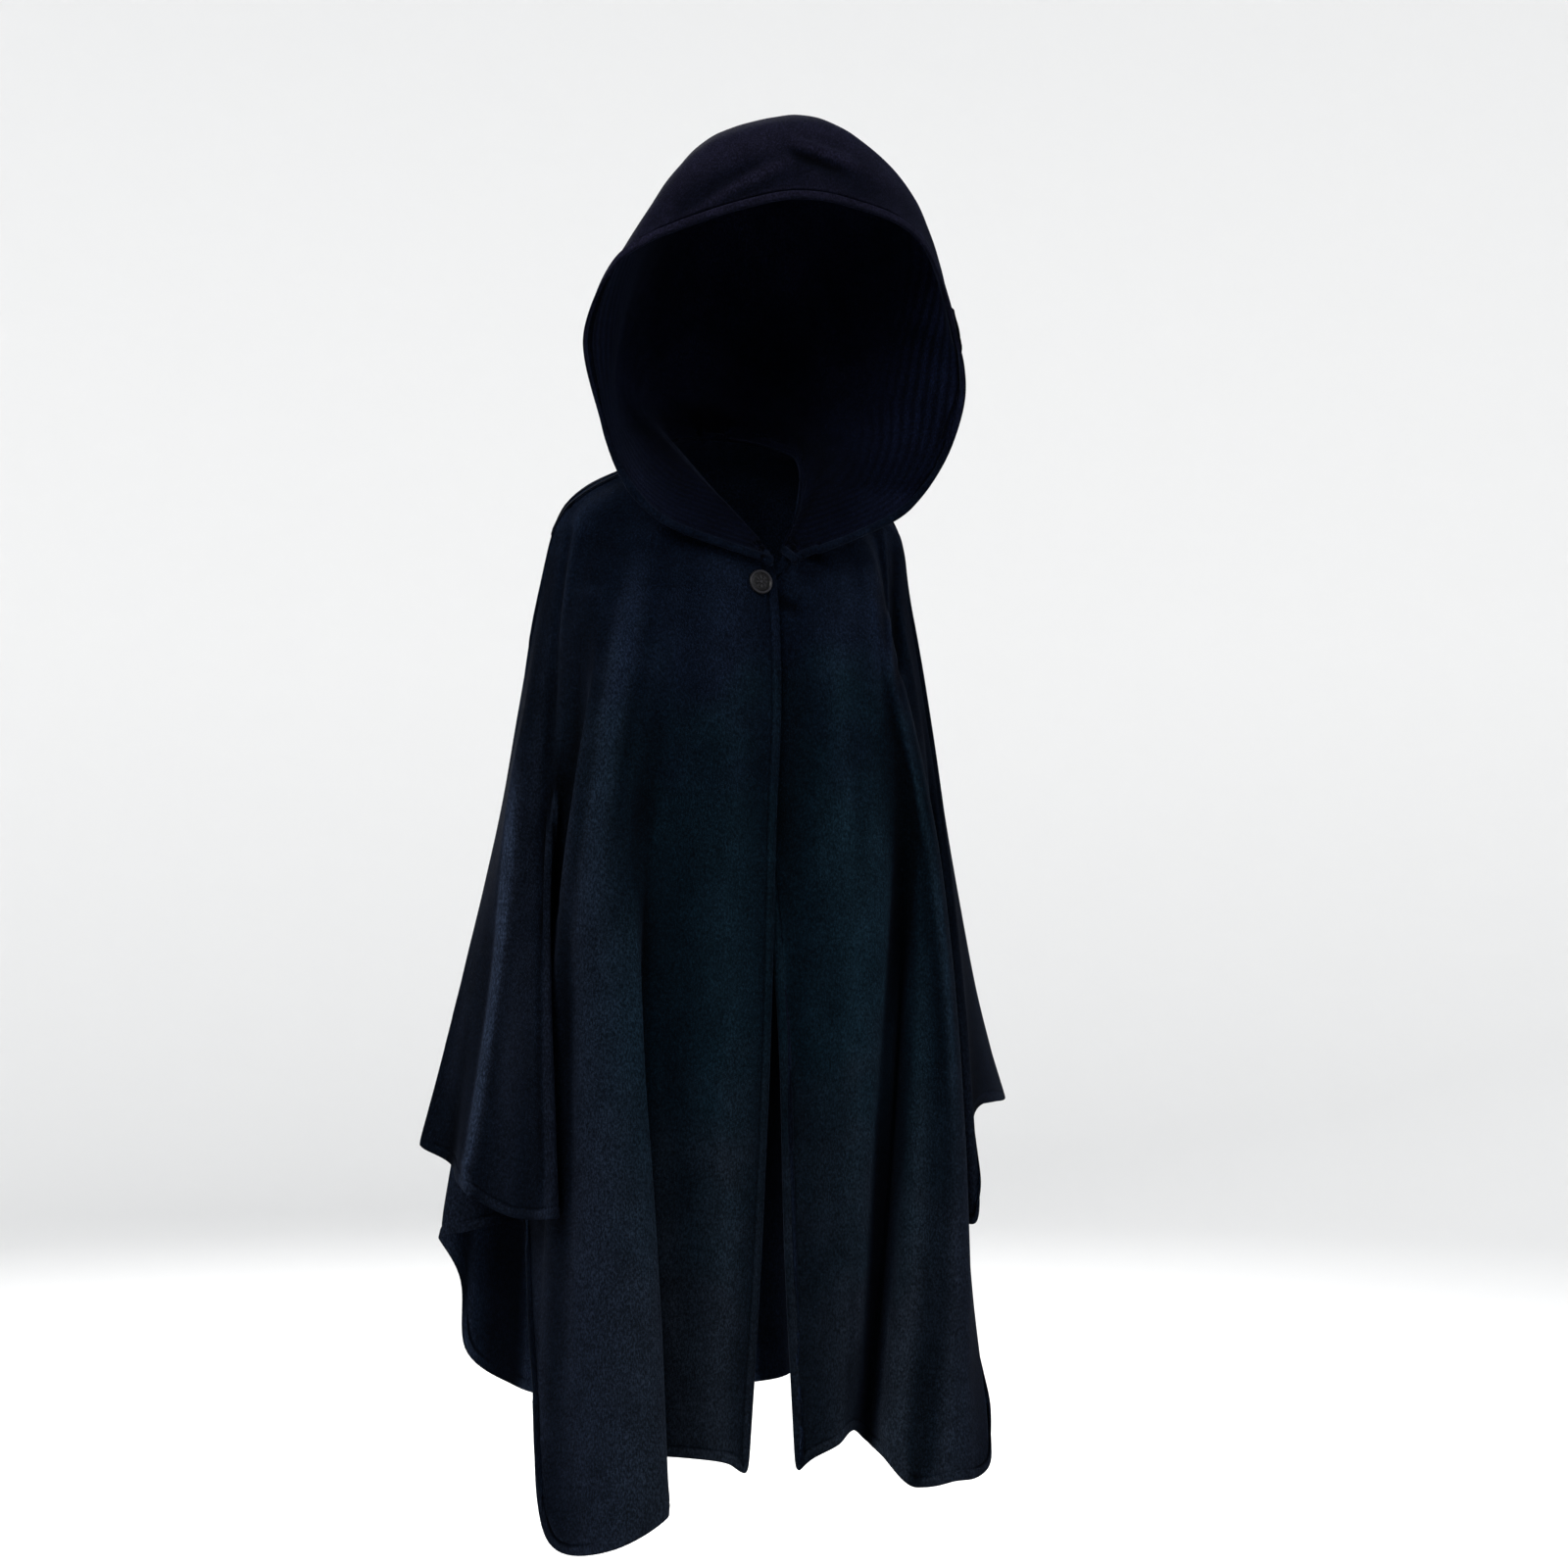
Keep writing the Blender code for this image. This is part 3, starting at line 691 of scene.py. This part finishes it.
# ------------------------------------------------------------ left front
# The wearer's left front, the same cut turned over. Its front edge goes
# under the right one at the neck and leaves it lower down, at the slit.
# A rub paints light along its crease, or shade below 0; rows with no depth are painted light and
# shade alone.
FRONT_LEFT_CREASES = [
    # facing across  top  drift bottom bow width depth rub (painted light and shade)
    Crease(-24, 44, -113, 24, -129, 0, 5.7, -2.5),
    Crease(-24, 60, -64, 34, -80, 0, 7, -3.0),
    Crease(-24, 138, -50, 8, -250, 0, 14, 4.0),
    Crease(-24, 153, -26, 5, -205, 1, 5, 3.0),
    Crease(-24, 166, -45, 4, -220, 0, 8, -4.0),
    Crease(-24, 156, -172, 68, -640, 15, 6, 2.0, 0.38),
    Crease(-24, 181, -250, -46, -925, -4, 16, -5.0),
    Crease(-24, 197, -300, -43, -860, 0, 12, -3.0, -0.28),
    Crease(-24, 184, -560, -34, -960, 0, 14, 0.0, -0.22),
    Crease(-24, 128, -40, -16, -220, 0, 26, 0.0, 0.22),
]
front_left = cloth_sheet("front_left", ["back", "hood"], 0.034, FRONT_LEFT_CREASES)
close_seams(front_left, ["back", "hood"])
press_creases(front_left, FRONT_LEFT_CREASES)
mark_wear_and_painted_light(front_left)
dress(front_left, outer_wool, inner_wool, "front_left")

# ------------------------------------------------------------------ back
# One wide back that hangs from the shoulders in soft falls, sewn to both
# fronts along shoulder and over-arm. Its sides and hem are turned in.
BACK_CREASES = [
    # facing across  top  drift bottom bow width depth
    Crease(180, -60, -90, -30, -700, 12, 22, 3.0),
    Crease(180, 40, -120, 26, -640, -10, 20, -3.5),
    Crease(180, 120, -160, 40, -760, 8, 18, 3.0),
    Crease(180, -150, -180, -46, -780, -8, 18, -3.0),
]
back = cloth_sheet("back", ["front_right", "front_left", "hood"], 0.05)
close_seams(back, ["front_right", "front_left", "hood"])
press_creases(back, BACK_CREASES)
mark_wear_and_painted_light(back)
dress(back, outer_wool, inner_wool, "back")

# ------------------------------------------------------------------ hood
# One piece of the same wool with its ribbed face inside. The face edge is
# rolled and stitched, and the neck edge is sewn into the neckline.
HOOD_CREASES = [
    # facing across  top  drift bottom bow width depth
    Crease(-24, 60, 334, 72, 314, -4, 6, 4.0),
    Crease(-24, 56, 324, 60, 306, -4, 7, -3.5),
    Crease(-24, 56, 312, -104, 240, -6, 7, 4.5),
    Crease(-24, 20, 288, -70, 236, -4, 9, -3.0),
    Crease(-24, 150, 270, 46, 120, 6, 14, -3.0),
]
ribbed_wool = wool("ribbed_inside", *[INSIDE_NAVY] * 5, ribbed=True)
RIB_AT_COLLAR, RIB_AT_CHEEK = 0.0068, 0.0125   # the knit is stretched above the collar
STRETCH_FROM, STRETCH_TO = 0.0, 0.09           # heights
RIBS_FADE, RIBS_END = 0.06, 0.12               # how far behind the face edge
COLLAR_DEPTH = 0.55                            # of the ribs, against those at the cheek
FREE_EDGE = 0.05    # a border point with more hem than this is on the face edge


def face_edge_of(mesh):
    """The hood's face edge in order from the wearer's left end to the right, each place with the
    way out of the hood and the way back into its cloth."""
    work = bmesh.new()
    work.from_mesh(mesh)
    hem = work.verts.layers.float["hem"]
    passed = set()

    def onward(v):
        ahead = [e.other_vert(v) for e in v.link_edges if e.is_boundary]
        return [other for other in ahead if other[hem] > FREE_EDGE and other not in passed]

    on_edge = [v for v in work.verts if v.is_boundary and v[hem] > FREE_EDGE]
    here = max((v for v in on_edge if len(onward(v)) == 1), key=lambda v: v.co.x)
    places = []
    while here:
        passed.add(here)
        into = sum((e.other_vert(here).co - here.co
                    for e in here.link_edges if not e.is_boundary), Vector())
        places.append((here.co.copy(), here.normal.copy(), into.normalized()))
        here = next(iter(onward(here)), None)
    work.free()
    return places


hood = cloth_sheet("hood", ["front_right", "front_left", "back"], 0.03)
close_seams(hood, ["front_right", "front_left", "back"])
press_creases(hood, HOOD_CREASES, unevenness=1.3, roll=0.0024)
mark_wear_and_painted_light(hood)
rim_places = face_edge_of(hood.data)
rim = tree_of([place for place, _, _ in rim_places])
counts, depths = [], []
for v in hood.data.vertices:
    behind = rim.find(v.co)[2]
    stretch = share(v.co.z, STRETCH_FROM, STRETCH_TO)
    counts.append(behind / (RIB_AT_COLLAR + (RIB_AT_CHEEK - RIB_AT_COLLAR) * stretch))
    depths.append(share(behind, RIBS_END, RIBS_FADE)
                  * (COLLAR_DEPTH + (1 - COLLAR_DEPTH) * stretch))
store(hood.data, "rib_count", counts)
store(hood.data, "rib_depth", depths)
dress(hood, outer_wool, ribbed_wool, "hood")

# The turned cloth makes a soft roll along the face edge, fullest at the collar.
ROLL_RADIUS = 0.0042
ROLL_THIN = 0.4        # share of that radius over the crown
ROLL_UNEVEN = 0.12     # and how much it comes and goes
ROLL_INTO = 0.7        # share of its radius that it lies back in the cloth
COLLAR_Z, CHEEK_Z = -0.01, 0.05
ROLL_WEAR_AND_LIGHT, ROLL_WEAR_AND_LIGHT_UNEVEN = 0.62, 0.2
rolled = bpy.data.curves.new("hood_rolled_edge", "CURVE")
rolled.dimensions = "3D"
rolled.bevel_depth = ROLL_RADIUS
rolled.bevel_resolution = 3
rolled.use_fill_caps = True
strand = rolled.splines.new("POLY")
strand.points.add(len(rim_places) - 1)
for point, (place, out, into) in zip(strand.points, rim_places):
    fullness = ROLL_THIN + (1 - ROLL_THIN) * share(place.z, CHEEK_Z, COLLAR_Z)
    fullness *= 1 + ROLL_UNEVEN * noise.noise(place * 40)
    point.radius = fullness
    inwards = into * ROLL_RADIUS * fullness * ROLL_INTO
    point.co = (*(place - out * HEM_WALL / 2 + inwards), 1)
rolled_curve = put("hood_rolled_edge", rolled)
rolled_mesh = bpy.data.meshes.new_from_object(
    rolled_curve.evaluated_get(bpy.context.evaluated_depsgraph_get()))
bpy.data.objects.remove(rolled_curve)
rolled_mesh.name = "hood_rolled_edge"
shade_smooth(rolled_mesh)
# The rolled edge is painted paler, unevenly: partly rubbing, partly painted highlight along it.
store(rolled_mesh, "wear_and_painted_light", [
    (ROLL_WEAR_AND_LIGHT + ROLL_WEAR_AND_LIGHT_UNEVEN * noise.noise(v.co * 60)) / MOST_WEAR_AND_LIGHT
    for v in rolled_mesh.vertices])
rolled_mesh.materials.clear()
rolled_mesh.materials.append(outer_wool)
rolled_edge = put("hood_rolled_edge", rolled_mesh)
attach(rolled_edge, "root")

# ---------------------------------------------------------------- button
# A coat button turned from dark horn: a raised rim that has worn pale and a
# dished middle with a plain rosette pressed in it.
BUTTON_PROFILE = [  # radius, height above the middle, in mm
    (0, -1.9), (9.6, -1.9), (11.6, -1.5), (12.4, -0.5), (12.5, 0.4), (12.2, 1.3), (11.6, 1.9),
    (10.9, 2.1), (10.2, 1.9), (9.7, 1.2), (9.2, 0.75), (7.5, 0.62), (4, 0.72), (0, 0.8)]
PETALS = 8
PETAL_SIZE, PETAL_PLACE = (2.5, 1.15, 0.7), (4.8, 0, 0.7)   # half sizes and places, in mm
BOSS_SIZE, BOSS_PLACE = (1.7, 1.7, 0.9), (0, 0, 0.8)
RIM_WITHIN = 0.0085                     # outside this radius is the rim
RIM_WORN, PETALS_WORN = 0.0015, 0.0010  # heights where the horn starts to be worn
FULLY_WORN = 0.0006                     # above those
PALE_HORN = (0.013, 0.013, 0.016, 1)


def add_bead(work, size, place, turn, around, along):
    """Adds a rounded bead of that half size, in mm, and turns it round the Z axis."""
    bead = bmesh.ops.create_uvsphere(work, u_segments=around, v_segments=along, radius=MM)["verts"]
    bmesh.ops.scale(work, verts=bead, vec=size)
    bmesh.ops.translate(work, verts=bead, vec=Vector(place) * MM)
    bmesh.ops.rotate(work, verts=bead, cent=(0, 0, 0), matrix=Matrix.Rotation(turn, 3, "Z"))


button_points = array_of(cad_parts["button"].data.vertices, "co", 3)
button_middle = Vector((button_points.min(axis=0) + button_points.max(axis=0)) / 2)
button_axis = Vector(np.linalg.svd(button_points - button_points.mean(axis=0))[2][2])
if button_axis.y > 0:
    button_axis.negate()
disc = lathe([(radius * MM, height * MM) for radius, height in BUTTON_PROFILE],
             steps=64, merge=1e-6)
for petal in range(PETALS):
    add_bead(disc, PETAL_SIZE, PETAL_PLACE, 2 * pi * petal / PETALS, around=14, along=8)
add_bead(disc, BOSS_SIZE, BOSS_PLACE, 0, around=20, along=10)
bmesh.ops.recalc_face_normals(disc, faces=disc.faces)
rub = disc.verts.layers.float.new("rub")
for v in disc.verts:
    worn_from = RIM_WORN if v.co.xy.length > RIM_WITHIN else PETALS_WORN
    v[rub] = share(v.co.z, worn_from, worn_from + FULLY_WORN)
turned_out = button_axis.to_track_quat("Z", "Y").to_matrix().to_4x4()
bmesh.ops.transform(disc, matrix=Matrix.Translation(button_middle) @ turned_out, verts=disc.verts)
button = put("horn_button", mesh_of(disc, "horn_button"))
horn, shader = new_material("dark_horn", roughness=0.3, specular=0.07)
wires = Wiring(horn)
where = wires.add("ShaderNodeTexCoord").outputs["Object"]
mottled = wires.ramp(wires.noise_at(420, where, 3), [
    (0.35, (0.0006, 0.0006, 0.0008)), (0.7, (0.0050, 0.0050, 0.0056))])
wires.join(wires.mixed("MIX", mottled, PALE_HORN, wires.attribute("rub")),
           shader.inputs["Base Color"])
button.data.materials.append(horn)
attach(button, "root")
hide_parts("button")
